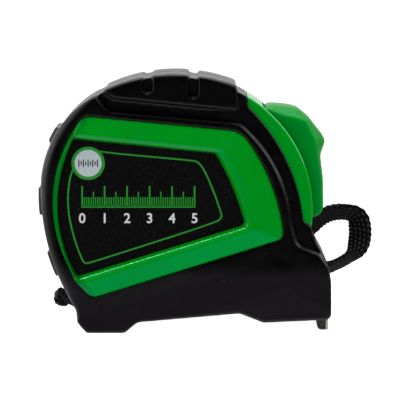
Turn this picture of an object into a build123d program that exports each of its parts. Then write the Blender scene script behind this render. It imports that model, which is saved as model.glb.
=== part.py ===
# Pocket tape measure: rubber-gripped two-half case, spring drum, printed steel
# blade with end hook, thumb lock, belt clip and wrist strap.
# Millimetres. +X is the way the blade leaves the mouth, +Z is up, the labelled
# side faces -Y. Outlines are drawn in (x, z); "depth" is the distance from the
# mid-plane towards a side. z = 0 is the floor under the rear foot and the hook tip.
import math
import os

from build123d import *

# ---------------------------------------------------------------- dimensions
OX, OY = -4.125, 2.97            # middle of the finished outline in x and y

HW_ABS = 16.0                  # half width of the plastic case
HW_LOW = 16.8                  # rubber in the channel
HW_RIM = 18.0                  # rubber around the label frame
HW_PAD = 17.8                  # top pad
HW_BASE = 19.0                 # base block
HW_CREST = 19.26               # crest of the label frame
HW_LABEL = 17.8                # label face on the far side, under the belt clip
HW_LABEL_NEAR = 17.0           # label face on the near side
LABEL_T = 0.5                  # label plate
HW_CAV = 13.6                  # cavity
RUBBER = 1.8                   # rubber skin on the rim of the case

FRONT_C, FRONT_R = (-4.6, 32.0), 33.95   # front curve, also the lock's axis
TRACK_R = FRONT_R - 1.0        # floor of the lock's track
FRONT_IN_R = FRONT_R - 3.0     # inner face of the front wall
TRACK_HW = 10.9
LOCK_TRAVEL = 9.0              # degrees

COIL_C = (-9.5, 35.9)          # drum axis
COIL_R = 25.3 
CAVITY_R = 27.0
DRUM_R, DRUM_IN_R = 20.5, 19.1
ARBOR_R = 3.5

BLADE_W, BLADE_T, BLADE_SAG = 25.0, 0.2, 2.2
BLADE_Z = 10.0                 # underside of the blade at its middle
BLADE_X0, BLADE_X1 = -8.5, 32.3
HOOK_X0, HOOK_X1 = 32.45, 33.6 # hook plate
HOOK_HW = 11.6
MOUTH_HW = 13.2
MOUTH_Z0, MOUTH_Z1 = 8.0, 13.2
POCKET_HW, POCKET_X, POCKET_Z = 12.4, 29.7, 15.6

SCREWS = [(-19.0, 6.6), (29.2, 17.6), (-25.2, 58.5), (11.0, 57.2)]
SCREW_R, SCREW_HEAD_R = 1.1, 1.8

CLIP_X0, CLIP_X1 = -18.0, 2.0
CLIP_TOP, CLIP_BOTTOM = 46.2, 6.4
CLIP_IN, CLIP_T, CLIP_BEND = 23.6, 1.0, 2.0
CLIP_SCREW = (-8.0, 41.6)

KNOT = (-35.9, 4.6, 6.9)       # knot at the rear face
STRAP_OUT = (-26.2, 18.9, 8.2) # where the strap leaves the case on the far side
TUNNEL_R = 2.6
STRAP_D = 2.2

# ---------------------------------------------------------------- helpers


def polar(c, r, deg):
    a = math.radians(deg)
    return (c[0] + r * math.cos(a), c[1] + r * math.sin(a))


def region(start, steps, rounds=()):
    """A closed outline of lines (x, z) and arcs ((mid), (end)), with rounded corners."""
    edges, p = [], start
    for s in steps + [start]:
        if isinstance(s[0], tuple):
            edges.append(ThreePointArc(p, s[0], s[1]))
            p = s[1]
        elif math.dist(p, s) > 1e-6:
            edges.append(Line(p, s))
            p = s
    f = make_face(edges)
    for at, r in rounds:
        v = min(f.vertices(), key=lambda q: math.dist((q.X, q.Y), at))
        f = fillet(v, r)
    return f


def ring_part(c, r0, r1, a0, a1):
    m = (a0 + a1) / 2
    return region(
        polar(c, r0, a0),
        [polar(c, r1, a0), (polar(c, r1, m), polar(c, r1, a1)), polar(c, r0, a1), (polar(c, r0, m), polar(c, r0, a0))],
    )


def slab(f, d0, d1):
    """An outline given thickness from depth d0 to depth d1 on the near side."""
    return extrude(Plane.XZ.offset(d0) * f, amount=d1 - d0)


def at_depth(part, d):
    return part.edges().filter_by_position(Axis.Y, -d - 1e-3, -d + 1e-3)


def soften(name, part, edges, sizes):
    """Round a set of edges with the first radius that can be made."""
    for r in sizes:
        try:
            return fillet(edges, r)
        except ValueError:
            continue
    for r in sizes:
        try:
            return chamfer(edges, r * 0.6)
        except ValueError:
            continue
    print("left sharp:", name)
    return part


def block(x0, x1, d0, d1, z0, z1):
    return Pos((x0 + x1) / 2, -(d0 + d1) / 2, (z0 + z1) / 2) * Box(x1 - x0, abs(d1 - d0), z1 - z0)


def rod(c, r, d0, d1):
    return slab(Pos(c[0], c[1]) * Circle(r), d0, d1)


def flip(p):
    return mirror(p, about=Plane.XZ)


def spiral(radii, t, start_deg):
    """A flat strip wound in half turns; radii are those of its outer face."""
    out = [((r if i % 2 == 0 else -r), 0) for i, r in enumerate(radii)]
    inn = [((r - t if i % 2 == 0 else -(r - t)), 0) for i, r in enumerate(radii)]

    def half(p, q, i):
        c, r = (p[0] + q[0]) / 2, abs(p[0] - q[0]) / 2
        return ThreePointArc(p, (c, r if i % 2 == 0 else -r), q)

    e = [half(out[i], out[i + 1], i) for i in range(len(out) - 1)]
    e += [half(inn[i], inn[i + 1], i) for i in range(len(inn) - 1)]
    e += [Line(out[0], inn[0]), Line(out[-1], inn[-1])]
    return Rot(0, 0, start_deg) * make_face(e)


def save(name, part):
    moved = Pos(-OX, -OY, 0) * part
    moved.label = name
    export_step(moved, "parts/" + name + ".step")
    b = moved.bounding_box()
    print(f"{name:20s} vol {moved.volume:10.1f}  x {b.min.X:7.2f} {b.max.X:7.2f}  y {b.min.Y:7.2f} {b.max.Y:7.2f}  z {b.min.Z:7.2f} {b.max.Z:7.2f}")


# ---------------------------------------------------------------- outlines
RU_C, RU_R = (-11.6, 37.1), 29.74       # rear upper curve
RL_C, RL_R = (11.1, 35.4), 52.5         # rear lower curve
PAD_C, PAD_R = (-6.2, 25.8), 41.6       # top curve of the pad
TOP_R = PAD_R - 0.7

front_low = polar(FRONT_C, FRONT_R, -8.42)
front_top = polar(FRONT_C, FRONT_R, 60.95)
rear_mid = (-41.4, 35.6)
side = region(
    (-29.5, 0),
    [
        (-19.6, 0),
        (-16.3, 2.8),
        (10.3, 5.1),
        (16.5, 2.7),
        (34.15, 3.5),
        (34.15, 12.3),
        ((33.75, 15.9), (32.9, 18.8)),
        (30.1, 23.9),
        front_low,
        (polar(FRONT_C, FRONT_R, 26), front_top),
        ((-6.2, PAD_C[1] + TOP_R), (-25.5, 62.6)),
        ((-38.72, 49.6), rear_mid),
        ((-39.05, 20.75), (-32.3, 5.8)),
        (-31.95, 2.7),
    ],
    [
        ((-19.6, 0), 1.2),
        ((-16.3, 2.8), 2.5),
        ((10.3, 5.1), 2.5),
        ((16.5, 2.7), 2.0),
        ((34.15, 3.5), 1.6),
        ((30.1, 23.9), 2.5),
        (front_top, 3.0),
        ((-25.5, 62.6), 5.0),
        ((-32.3, 5.8), 1.0),
    ],
)
# front of the case that the rubber leaves bare
bare_front = region(
    (12.35, 72.0),
    [
        (12.35, 59.0),
        ((21.0, 47.9), (26.9, 29.2)),
        (29.4, 27.3),
        (42.0, 27.3),
        (42.0, 72.0),
    ],
    [((12.35, 59.0), 2.5), ((26.9, 29.2), 1.2)],
)
# channel outside the raised rim
channel = region(
    (-30.0, 65.4),
    [
        (-23.6, 57.75),
        (9.9, 54.85),
        ((18.55, 44.9), (23.75, 28.2)),
        (25.3, 22.8),
        (31.2, 20.5),
        (36.0, 13.9),
        (44.0, 13.9),
        (44.0, 75.0),
        (-30.0, 75.0),
    ],
    [((-23.6, 57.75), 4.0), ((9.9, 54.85), 5.0), ((25.3, 22.8), 3.2), ((31.2, 20.5), 2.0)],
)
# base block
lower = region(
    (-50.0, -5.0),
    [(50.0, -5.0), (50.0, 5.1), (33.0, 14.9), (28.0, 17.8), (23.0, 18.9), (16.0, 17.9), (4.0, 15.2), (-14.0, 9.2), (-50.0, -2.0)],
    [((28.0, 17.8), 6.0), ((23.0, 18.9), 8.0), ((16.0, 17.9), 10.0), ((4.0, 15.2), 30.0)],
)
pad = region(
    (-24.9, 62.7),
    [
        (-22.5, 61.1),
        (9.3, 57.95),
        (9.75, 58.6),
        (9.5, PAD_C[1] + math.sqrt(PAD_R**2 - (9.5 - PAD_C[0]) ** 2)),
        ((PAD_C[0], PAD_C[1] + PAD_R), (-24.9, 63.3)),
    ],
    [((-22.5, 61.1), 2.0)],
)


# each outline of the label frame: its corners, the mid points of its curved ends, and the corner radii
F_OUT = ((-30.2, 56.57), (10.5, 52.6), (17.9, 40.5), (21.86, 24.51), (-28.2, 8.92), (-38.28, 33.8), 3.4, 6.5, 2.2, 3.0)
F_CREST = ((-32.47, 52.17), (6.4, 48.2), (10.94, 39.5), (15.0, 27.2), (-31.82, 12.64), (-37.22, 33.4), 1.4, 1.8, 1.6, 1.6)
F_LIP = ((-32.65, 51.1), (4.82, 47.24), (9.19, 38.76), (12.85, 27.84), (-31.87, 13.9), (-37.11, 33.3), 1.2, 1.5, 1.3, 1.3)
F_SEAT = ((-32.77, 50.52), (4.02, 46.76), (8.32, 38.4), (11.74, 28.2), (-31.97, 14.63), (-37.02, 33.3), 1.0, 1.3, 1.2, 1.2)
F_LABEL = ((-32.67, 50.42), (3.95, 46.65), (8.22, 38.35), (11.62, 28.3), (-31.87, 14.74), (-36.91, 33.3), 1.0, 1.3, 1.2, 1.2)


def frame_outline(f):
    tl, tr, rm, br, bl, lm, *rounds = f
    return region(tl, [tr, (rm, br), bl, (lm, tl)], list(zip((tl, tr, br, bl), rounds)))


def between(a, b, t):
    """The frame outline a share t of the way from outline a to outline b."""
    return tuple((p[0] + (q[0] - p[0]) * t, p[1] + (q[1] - p[1]) * t) if isinstance(p, tuple) else p + (q - p) * t for p, q in zip(a, b))


def stack(levels):
    """A solid through outlines at growing depth, with straight flanks between them."""
    body = None
    for (f0, d0), (f1, d1) in zip(levels, levels[1:]):
        s = loft([Plane.XZ.offset(d0) * frame_outline(f0), Plane.XZ.offset(d1) * frame_outline(f1)], ruled=True)
        body = s if body is None else body + s
    return body


f_out = frame_outline(F_OUT)
f_label = frame_outline(F_LABEL)

# ---------------------------------------------------------------- case halves
core_2d = region(
    (-28.2, RUBBER),
    [
        (-20.2, RUBBER),
        (-16.9, 4.55),
        (10.45, 6.95),
        (16.9, 4.55),
        (32.35, 5.25),
        (32.35, 12.2),
        ((31.97, 15.6), (31.25, 18.2)),
        (27.8, 26.2),
        (polar(FRONT_C, FRONT_R - RUBBER, 24), (10.9, 59.9)),
        ((PAD_C[0], PAD_C[1] + TOP_R - 1.5), (-24.7, 60.9)),
        ((-37.1, 48.5), (-39.6, 35.6)),
        ((-37.55, 21.3), (-30.9, 6.3)),
        (-30.1, 3.6),
    ],
)
core_2d = core_2d + (side & bare_front)
cavity_2d = Pos(*COIL_C) * Circle(CAVITY_R)
front_room = (Pos(*FRONT_C) * Circle(FRONT_IN_R)) & region((4.0, MOUTH_Z0), [(30.0, MOUTH_Z0), (30.0, 51.0), (4.0, 51.0)])
front_room = front_room + region((COIL_C[0], MOUTH_Z0), [(20.0, MOUTH_Z0), (20.0, 24.0), (COIL_C[0], 24.0)])
cavity_2d = cavity_2d + front_room

track = ring_part(FRONT_C, TRACK_R, TRACK_R + 12, -LOCK_TRAVEL - 6.6, 51.6)
slot = ring_part(FRONT_C, FRONT_IN_R - 1.5, TRACK_R + 1, 17.4 - LOCK_TRAVEL, 30.6)

core_solid = slab(core_2d, 0, HW_ABS)
EDGE_R = 0.8
tool = Rectangle(EDGE_R + 1, EDGE_R + 1, align=(Align.MIN, Align.MAX)) - Circle(EDGE_R)
tool = Plane(origin=(FRONT_C[0], 0, FRONT_C[1]), x_dir=(1, 0, 0), z_dir=(0, 0, 1)) * Pos(FRONT_R - EDGE_R, EDGE_R - HW_ABS) * tool
front_axis = Axis((FRONT_C[0], 0, FRONT_C[1]), (0, -1, 0))
core_round = core_solid - revolve(tool.rotate(front_axis, -6.5), axis=front_axis, revolution_arc=66.6)

# the label frame rises from its rubber edge to a rounded crest, and falls over a rounded lip to the label
LIP_D = 18.6
frame_out = slab(f_out, HW_ABS - 1.0, 16.9) + stack([
    (F_OUT, 16.9), (between(F_OUT, F_CREST, 0.02), 17.5), (between(F_OUT, F_CREST, 0.08), 17.78),
    (between(F_OUT, F_CREST, 0.9), 19.07), (F_CREST, HW_CREST - 0.06),
])
# at the rear the frame is lower and its crest is worn flat
frame_lean = extrude(Plane.XY * Polygon([(-42.0, -17.04), (-36.9, -18.02), (-32.1, -19.35), (-32.1, -24.0), (-42.0, -24.0)], align=None), amount=70.0, both=True)
frame_out -= frame_lean


def frame_in(face):
    seat = slab(frame_outline(F_SEAT), face - LABEL_T, face)
    return seat + stack([
        (F_SEAT, face), (between(F_LIP, F_SEAT, 0.3), LIP_D - 0.4), (between(F_LIP, F_SEAT, 0.02), LIP_D - 0.1),
        (between(F_CREST, F_LIP, 0.8), LIP_D + 0.09), (between(F_CREST, F_LIP, 0.28), HW_CREST - 0.17), (between(F_CREST, F_LIP, 0.09), HW_CREST - 0.04),
    ])


mouth = block(16.0, 40.0, 0, MOUTH_HW, MOUTH_Z0, MOUTH_Z1)
pocket = block(POCKET_X, 42.0, 0, POCKET_HW, -3.0, POCKET_Z)
guide_seat = block(21.0, POCKET_X + 0.01, 0, 12.6, MOUTH_Z0 - 1.0, MOUTH_Z0 + 0.01)
bumper_seat = block(POCKET_X - 2.2, POCKET_X + 0.01, 0, 11.0, MOUTH_Z1 - 0.01, MOUTH_Z1 + 2.2)

half = core_round + frame_out
half -= slab(cavity_2d, 0, HW_CAV)
for c in SCREWS[2:]:
    half += (rod(c, 2.6, 0, HW_CAV + 0.5) & core_solid) - rod(COIL_C, COIL_R + 0.5, -0.1, HW_CAV)
half -= slab(track, 0, TRACK_HW)
half -= slab(slot, 0, 4.0)
half -= mouth + pocket + guide_seat + bumper_seat
half -= rod(COIL_C, ARBOR_R + 0.02, HW_CAV - 0.1, HW_CAV + 1.4)

case_near = half - frame_in(HW_LABEL_NEAR)
for c in SCREWS:
    case_near -= rod(c, SCREW_R + 0.03, -0.1, 11.0)

case_far = flip(half - frame_in(HW_LABEL))
for c in SCREWS:
    case_far -= rod(c, SCREW_R + 0.15, 0.1, -30)
    case_far -= rod(c, SCREW_HEAD_R + 0.25, -13.9, -30)
case_far -= rod(CLIP_SCREW, 1.53, -14.3, -20)

tunnel_dir = Vector(STRAP_OUT[0] - KNOT[0], STRAP_OUT[1] - KNOT[1], STRAP_OUT[2] - KNOT[2]).normalized()
tunnel = extrude(Plane(origin=Vector(*KNOT) - tunnel_dir * 3, z_dir=tunnel_dir) * Circle(TUNNEL_R), amount=26)
case_far -= tunnel

# ---------------------------------------------------------------- rubber grips
low = slab(side - bare_front, 0, HW_LOW)
# under the top pad the channel is cut down almost to the plastic, and its outer end lies lower than the rim
low -= slab(region((-45.0, 53.0), [(10.3, 53.0), (10.3, 80.0), (-45.0, 80.0)]), HW_ABS + 0.2, HW_LOW + 1)
low -= slab(region((-31.0, 59.7), [(-24.6, 62.9), (-24.6, 70.0), (-33.0, 70.0)]), -1, 30)
rim_2d = side - channel
rim = slab(rim_2d, 0, HW_RIM)
rim = soften("rim", rim, at_depth(rim, HW_RIM), (1.1, 0.9, 0.7, 0.5))
base_2d = side & lower
base = slab(base_2d, 0, HW_BASE)
base = soften("base", base, at_depth(base, HW_BASE), (1.7, 1.5, 1.2, 0.9, 0.6))
# its face leans in to meet the rim's along the frame's lower edge
for lean_a, lean_b, lean_run in (((-34.0, 3.6), (19.0, 18.1), 7.0), ((23.0, 17.9), (33.0, 13.3), 6.0)):
    th = math.atan2(lean_b[1] - lean_a[1], lean_b[0] - lean_a[0])
    lean = Plane(origin=(lean_a[0], 0, lean_a[1]), x_dir=(math.sin(th), 0, -math.cos(th)), z_dir=(-math.cos(th), 0, -math.sin(th)))
    over = 30.0 * (HW_BASE - HW_RIM) / lean_run
    base -= extrude(lean * region((-30.0, HW_RIM - over), [(lean_run, HW_BASE), (lean_run, 25.0), (-30.0, 25.0)]), amount=90, both=True)
top_pad = slab(pad, 0, HW_PAD)
arc = [e for e in at_depth(top_pad, HW_PAD) if e.length > 30 and e.geom_type == GeomType.CIRCLE]
top_pad = soften("pad", top_pad, arc, (1.2, 1.0, 0.8, 0.6))
top_pad = chamfer([e for e in at_depth(top_pad, HW_PAD) if e.geom_type == GeomType.LINE], 0.25)
pad_slots = None
for x0, x1, zb in ((-14.86, -12.36, 62.26), (-3.0, -0.47, 61.07)):
    n = region((x0, zb), [(x1, zb), (x1 + 0.1, 75), (x0 - 0.1, 75)], [((x0, zb), 1.18), ((x1, zb), 1.18)])
    top_pad -= slab(n, -1, HW_PAD + 1)
    n = slab(n, HW_ABS + 0.2, HW_PAD + 1)
    pad_slots = n if pad_slots is None else pad_slots + n
ribs = None
for c, r, a0, a1 in ((RU_C, RU_R, 148.3, 156.4), (RL_C, RL_R, 177.9, 185.8), (RL_C, RL_R, 196.3, 203.8)):
    s = slab(ring_part(c, r - 1.5, r + 1.0, a0, a1), 0, 10.0)
    s = soften("rib", s, [e for e in at_depth(s, 10.0) if e.length > 3 and math.dist((e.center().X, e.center().Z), c) > r], (0.8, 0.6))
    ribs = s if ribs is None else ribs + s

grip = low + rim + base + top_pad + ribs
grip -= core_solid + pad_slots
grip -= slab(f_out, 0, 30)
grip -= slab(track, 0, TRACK_HW)
grip -= mouth + pocket
grip_near = grip
grip_far = flip(grip)
for c in SCREWS:
    grip_far -= rod(c, SCREW_HEAD_R + 0.35, -10, -30)
grip_far -= tunnel

# ---------------------------------------------------------------- labels
label_near = slab(f_label, HW_LABEL_NEAR - LABEL_T, HW_LABEL_NEAR)
label_far = flip(slab(f_label, HW_LABEL - LABEL_T, HW_LABEL)) - rod(CLIP_SCREW, 1.7, -10, -30)

# ---------------------------------------------------------------- thumb lock
lock_mid = [(17.3, 58.75), (18.6, 58.95), (23.0, 58.6), (25.4, 58.05), (28.45, 55.6), (32.5, 50.45), (32.95, 49.1), (31.65, 45.6), (32.4, 39.5), (32.5, 31.8), (32.0, 30.4)]
lock_side = [(17.75, 58.15), (19.4, 57.3), (21.7, 56.1), (25.2, 55.5), (27.9, 54.9), (29.6, 50.6), (30.1, 48.9), (31.0, 45.6), (32.0, 39.5), (32.2, 31.8), (31.75, 30.55)]


def lock_outline(w):
    pts = [(a[0] + (b[0] - a[0]) * w, a[1] + (b[1] - a[1]) * w) for a, b in zip(lock_mid, lock_side)]
    a_top, a_low = 50.0, -4.6
    return region(
        polar(FRONT_C, TRACK_R + 0.2, a_top),
        pts + [polar(FRONT_C, TRACK_R + 1.2, a_low), polar(FRONT_C, TRACK_R + 0.2, a_low), (polar(FRONT_C, TRACK_R + 0.2, 23), polar(FRONT_C, TRACK_R + 0.2, a_top))],
    )


stations = [(5.0, 0.0), (7.0, 0.18), (8.6, 0.5), (9.7, 0.8), (10.4, 1.0)]
lock_half = slab(lock_outline(0), 0, stations[0][0])
for (d0, w0), (d1, w1) in zip(stations, stations[1:]):
    lock_half += loft([Plane.XZ.offset(d0) * lock_outline(w0), Plane.XZ.offset(d1) * lock_outline(w1)], ruled=True)
leg = slab(ring_part(FRONT_C, FRONT_IN_R - 0.35, TRACK_R + 0.6, 18.0, 30.0), 0, 3.7)
lock_half += leg
lock_button = lock_half + flip(lock_half)

SL_R1, SL_R0 = FRONT_IN_R - 0.35, FRONT_IN_R - 2.2
slider_half = slab(ring_part(FRONT_C, SL_R0, SL_R1, 12.0, 35.0), 0, 8.5)
slider_half += slab(ring_part(FRONT_C, SL_R0, SL_R1, -29.0, 13.0), 0, 4.0)
lock_slider = slider_half + flip(slider_half)
pad_half = slab(ring_part(FRONT_C, SL_R0 - 1.0, SL_R1, -34.4, -29.0), 0, 4.0)
brake_pad = pad_half + flip(pad_half)

# ---------------------------------------------------------------- drum, spring, coil
drum = rod(COIL_C, DRUM_R, -12.5, 12.5) - rod(COIL_C, DRUM_IN_R, -11.4, 12.6)
drum += rod(COIL_C, 6.0, -12.5, -9.0)
drum -= rod(COIL_C, ARBOR_R + 0.04, -13, 13)
for k in range(5):
    drum -= rod(polar(COIL_C, 12.5, 72 * k + 20), 3.2, -13, -11)
drum_cover = rod(COIL_C, DRUM_IN_R - 0.02, 11.5, 12.5)
drum_cover += rod(COIL_C, 6.0, 9.0, 11.6)
drum_cover -= rod(COIL_C, ARBOR_R + 0.04, 8, 13)
for k in range(5):
    drum_cover -= rod(polar(COIL_C, 12.5, 72 * k + 20), 3.2, 11, 13)

arbor = rod(COIL_C, ARBOR_R, -HW_CAV - 1.3, HW_CAV + 1.3)
arbor -= block(COIL_C[0] - 0.35, COIL_C[0] + 0.35, -8.5, 8.5, COIL_C[1], COIL_C[1] + 6)
washer_near = rod(COIL_C, 8.0, 12.75, HW_CAV) - rod(COIL_C, ARBOR_R + 0.05, 12, 14)
washer_far = flip(washer_near)

spring_radii = [DRUM_IN_R - 0.05 - 0.19 * i for i in range(21)]
r = spring_radii[-1]
for step in (1.3, 1.9, 2.1, 1.9, 1.6, 1.3, 1.0, 0.38):
    r -= step
    spring_radii.append(r)
power_spring = slab(Pos(*COIL_C) * spiral(spring_radii, 0.24, 90), -8.6, 8.6)

coil_radii = [COIL_R - 0.19 * i for i in range(24)]
tape_coil = slab(Pos(*COIL_C) * spiral(coil_radii, 0.3, -90), -BLADE_W / 2, BLADE_W / 2)

# ---------------------------------------------------------------- blade and hook
def blade_section(x, sag):
    h = BLADE_W / 2
    f = make_face(
        [
            ThreePointArc((-h, BLADE_Z + sag), (0, BLADE_Z), (h, BLADE_Z + sag)),
            Line((h, BLADE_Z + sag), (h, BLADE_Z + sag + BLADE_T)),
            ThreePointArc((h, BLADE_Z + sag + BLADE_T), (0, BLADE_Z + BLADE_T), (-h, BLADE_Z + sag + BLADE_T)),
            Line((-h, BLADE_Z + sag + BLADE_T), (-h, BLADE_Z + sag)),
        ]
    )
    return Plane(origin=(x, 0, 0), x_dir=(0, 1, 0), z_dir=(1, 0, 0)) * f


FLAT_END = 8.0
tape_blade = loft([blade_section(BLADE_X0, 0.06), blade_section(FLAT_END, BLADE_SAG)], ruled=True)
tape_blade += extrude(blade_section(FLAT_END, BLADE_SAG), amount=BLADE_X1 - FLAT_END)

RIVETS = [(22.6, 3.2), (22.6, -3.2), (27.6, 0.0)]   # x, y
HOOK_PLAY = 1.0
TONGUE_Z1 = BLADE_Z - 0.08
TONGUE_T = 0.9
hook_2d = region((HOOK_X0, 0), [(HOOK_X1, 0), (HOOK_X1, TONGUE_Z1 + 4.4), (HOOK_X0, TONGUE_Z1 + 4.4)])
plate = slab(hook_2d, -HOOK_HW, HOOK_HW)
wing = block(30.3, HOOK_X1, HOOK_HW - 1.15, HOOK_HW, 0, 6.2)
wing -= slab(region((29.0, 3.6), [(31.6, 7.4), (29.0, 7.4)]), 0, 20)
end_hook = plate + wing + flip(wing)
end_hook = fillet([e for e in end_hook.edges().filter_by(Axis.Z) if abs(e.center().X - HOOK_X1) < 1e-3 and e.length > 5], 0.9)
end_hook = fillet([e for e in end_hook.edges() if abs(e.center().X - 30.3) < 1e-3 and abs(e.center().Z) < 1e-3], 0.9)
end_hook += block(18.6, HOOK_X0 + 0.2, -6.0, 6.0, TONGUE_Z1 - TONGUE_T, TONGUE_Z1)
end_hook -= extrude(Plane.YZ.offset(30) * (Pos(0, 4.6) * SlotOverall(6.0, 2.6)), amount=8)
tape_cut = None
for x, y in RIVETS:
    s = Plane.XY.offset(TONGUE_Z1 - TONGUE_T - 1) * (Pos(x - HOOK_PLAY / 2, y) * SlotOverall(HOOK_PLAY + 2 * 1.09, 2 * 1.09))
    end_hook -= extrude(s, amount=3)
    tape_blade -= Pos(x, y, BLADE_Z) * Cylinder(1.02, 3)
clamp_plate = block(20.4, 29.8, -5.4, 5.4, BLADE_Z + 0.64, BLADE_Z + 1.04)
rivets = []
for x, y in RIVETS:
    clamp_plate -= Pos(x, y, BLADE_Z) * Cylinder(1.02, 4)
    z0 = TONGUE_Z1 - TONGUE_T - 0.1
    v = Pos(x, y, (z0 - 0.5 + BLADE_Z + 1.04) / 2) * Cylinder(1.0, BLADE_Z + 1.04 - z0 + 0.5)
    v += Pos(x, y, z0 - 0.25) * Cylinder(1.9, 0.5)
    v += Pos(x, y, BLADE_Z + 1.04 + 0.2) * Cylinder(1.7, 0.4)
    rivets.append(v)

# ---------------------------------------------------------------- mouth pieces
mouth_guide = block(21.05, POCKET_X - 0.05, -12.55, 12.55, MOUTH_Z0 - 1.0, MOUTH_Z0)
mouth_bumper = block(POCKET_X - 2.15, POCKET_X + 0.6, -10.95, 10.95, MOUTH_Z1, MOUTH_Z1 + 2.15)

# ---------------------------------------------------------------- belt clip
clip_2d = FilletPolyline(
    [(HW_LABEL + CLIP_T / 2, CLIP_TOP), (HW_LABEL + CLIP_T / 2, 36.6), (CLIP_IN + CLIP_T / 2, 33.4), (CLIP_IN + CLIP_T / 2, 17.0), (CLIP_IN - 0.6, 9.8), (CLIP_IN + 1.1, CLIP_BOTTOM)],
    radius=[CLIP_BEND, CLIP_BEND, 12.0, 2.4],
)
band = trace(Wire([e for e in clip_2d.edges()]), CLIP_T)
clip_all = extrude(Plane(origin=(CLIP_X0, 0, 0), x_dir=(0, 1, 0), z_dir=(1, 0, 0)) * band, amount=CLIP_X1 - CLIP_X0)
clip_all = fillet([e for e in clip_all.edges().filter_by(lambda e: abs(e.center().Z - CLIP_TOP) < 0.05 and abs(abs((e @ 1).Y - (e @ 0).Y) - CLIP_T) < 0.02)], 3.0)
clip_all -= rod(CLIP_SCREW, 1.6, -10, -40)
# the leaf flexes about the middle of its first bend, so the sheet is parted where that bend starts
clip_turn = math.atan2(CLIP_IN - HW_LABEL, 36.6 - 33.4)
CLIP_AXIS = (HW_LABEL + CLIP_T / 2 + CLIP_BEND, 36.6 + CLIP_BEND * math.tan(clip_turn / 2))
print("clip axis y, z", CLIP_AXIS)
above = block(CLIP_X0 - 5, CLIP_X1 + 5, -10, -40, CLIP_AXIS[1], 80)
belt_clip_root = clip_all & above
belt_clip = clip_all - above
clip_screw = rod(CLIP_SCREW, 1.5, -14.4, -HW_LABEL - CLIP_T - 0.2) + rod(CLIP_SCREW, 2.9, -HW_LABEL - CLIP_T, -HW_LABEL - CLIP_T - 1.3)
clip_screw -= rod(CLIP_SCREW, 0.0 + 1.2, -HW_LABEL - CLIP_T - 0.6, -HW_LABEL - CLIP_T - 2)

case_screws = []
for c in SCREWS:
    s = rod(c, SCREW_R, 10.8, -14.0) + rod(c, SCREW_HEAD_R, -13.95, -15.4)
    s -= block(c[0] - 0.35, c[0] + 0.35, -14.7, -16, c[1] - 1.4, c[1] + 1.4)
    s -= block(c[0] - 1.4, c[0] + 1.4, -14.7, -16, c[1] - 0.35, c[1] + 0.35)
    case_screws.append(s)

# ---------------------------------------------------------------- wrist strap
neck_len = (Vector(*STRAP_OUT) - Vector(*KNOT)).length
neck = extrude(Plane(origin=Vector(*KNOT), z_dir=tunnel_dir) * Circle(TUNNEL_R - 0.35), amount=neck_len)
strap_knot = neck + Pos(*KNOT) * Sphere(2.7)
strap_knot -= grip_far + case_far

ROUTE = [
    (-25.7, 19.7, 9.3),
    (-19.0, 20.6, 11.8),
    (-8.0, 20.5, 15.4),
    (6.0, 20.6, 19.7),
    (19.0, 20.9, 22.8),
    (29.5, 21.2, 24.7),
    (36.8, 21.4, 27.9),
    (42.5, 21.4, 25.8),
    (43.6, 21.3, 20.4),
    (40.3, 21.2, 15.9),
    (33.5, 21.0, 13.3),
    (20.0, 20.8, 11.0),
    (6.0, 20.6, 9.6),
    (-8.0, 20.5, 9.2),
    (-19.0, 20.6, 8.2),
    (-25.7, 19.7, 6.6),
]


def corner_radii(pts):
    out = []
    for a, b, c in zip(pts, pts[1:], pts[2:]):
        u, v = (Vector(*b) - Vector(*a)), (Vector(*c) - Vector(*b))
        turn = math.radians(u.get_angle(v))
        out.append(0.45 * min(u.length, v.length) / math.tan(max(turn, 0.02) / 2))
    return out


radii = corner_radii(ROUTE)
print("strap corner radii", [round(r, 1) for r in radii])
route = FilletPolyline([Vector(*p) for p in ROUTE], radius=radii)
wrist_strap = sweep(Plane(origin=route @ 0, z_dir=route % 0) * Circle(STRAP_D / 2), path=route)

# ---------------------------------------------------------------- save
os.makedirs("parts", exist_ok=True)
save("case_near", case_near)
save("case_far", case_far)
save("grip_near", grip_near)
save("grip_far", grip_far)
save("label_near", label_near)
save("label_far", label_far)
save("lock_button", lock_button)
save("lock_slider", lock_slider)
save("brake_pad", brake_pad)
save("drum", drum)
save("drum_cover", drum_cover)
save("arbor", arbor)
save("washer_near", washer_near)
save("washer_far", washer_far)
save("power_spring", power_spring)
save("tape_coil", tape_coil)
save("tape_blade", tape_blade)
save("end_hook", end_hook)
save("clamp_plate", clamp_plate)
for k, v in enumerate(rivets):
    save(f"hook_rivet_{k + 1}", v)
save("mouth_guide", mouth_guide)
save("mouth_bumper", mouth_bumper)
save("belt_clip_root", belt_clip_root)
save("belt_clip", belt_clip)
save("clip_screw", clip_screw)
for k, s in enumerate(case_screws):
    save(f"case_screw_{k + 1}", s)
save("strap_knot", strap_knot)
save("wrist_strap", wrist_strap)
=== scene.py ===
# Pocket tape measure: looks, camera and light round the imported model.
# Metres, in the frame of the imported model. mm() turns millimetres of the
# drawing frame (x forward from the photo's middle, y away from the label side,
# z up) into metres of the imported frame.
import bpy
import math
import numpy as np
from mathutils import Vector, Matrix


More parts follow.
